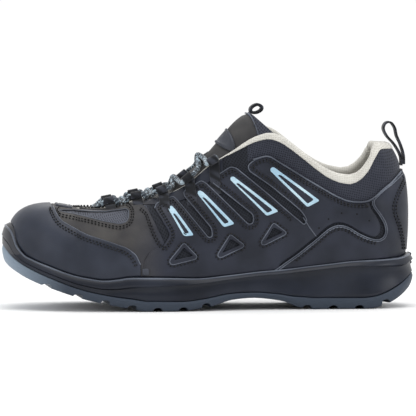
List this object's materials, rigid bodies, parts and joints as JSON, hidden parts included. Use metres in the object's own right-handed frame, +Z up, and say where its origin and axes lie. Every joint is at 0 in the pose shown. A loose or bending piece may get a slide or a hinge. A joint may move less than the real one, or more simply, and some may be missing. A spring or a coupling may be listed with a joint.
{
  "type": "safety sneaker",
  "caption": "Low safety sneaker, left shoe: dark fabric upper with toe cap, side cage, padded collar, tongue and flecked laces on a moulded midsole with a lugged rubber outsole.",
  "frame": {"origin": "on the floor, under the middle of the shoe's box", "axes": "+Z up, toe to -X, heel to +X, outer side to -Y, inner side to +Y"},
  "size_m": [0.3, 0.1105, 0.1477],
  "materials": {
    "outsole_rubber": "moulded, matt",
    "midsole_rubber": "moulded, fine grain",
    "lining": "knitted",
    "upper_fabric": "spacer mesh",
    "tongue_fabric": "woven",
    "toe_cap_film": "moulded film, fine grain",
    "side_panel_film": "welded film, fine grain",
    "woven_webbing": "woven",
    "flecked_lace": "braided"
  },
  "bodies": {
    "root": {"outsole": "outsole_rubber", "midsole": "midsole_rubber", "insole": "lining", "upper": "upper_fabric", "tongue": "tongue_fabric", "toe_cap": "toe_cap_film", "heel_counter": "side_panel_film", "side_cage_lateral": "side_panel_film", "side_cage_medial": "side_panel_film", "vamp_tab": "toe_cap_film", "heel_pull": "woven_webbing", "tongue_pull": "woven_webbing", "lace_bar": "flecked_lace", "lace_cross_1": "flecked_lace", "lace_cross_2": "flecked_lace", "lace_cross_3": "flecked_lace", "lace_cross_4": "flecked_lace", "lace_strap_lateral_1": "woven_webbing", "lace_strap_medial_1": "woven_webbing", "lace_strap_lateral_2": "woven_webbing", "lace_strap_medial_2": "woven_webbing", "lace_strap_lateral_3": "woven_webbing", "lace_strap_medial_3": "woven_webbing", "lace_strap_lateral_4": "woven_webbing", "lace_strap_medial_4": "woven_webbing", "lace_strap_lateral_5": "woven_webbing", "lace_strap_medial_5": "woven_webbing"}
  },
  "joints": []
}
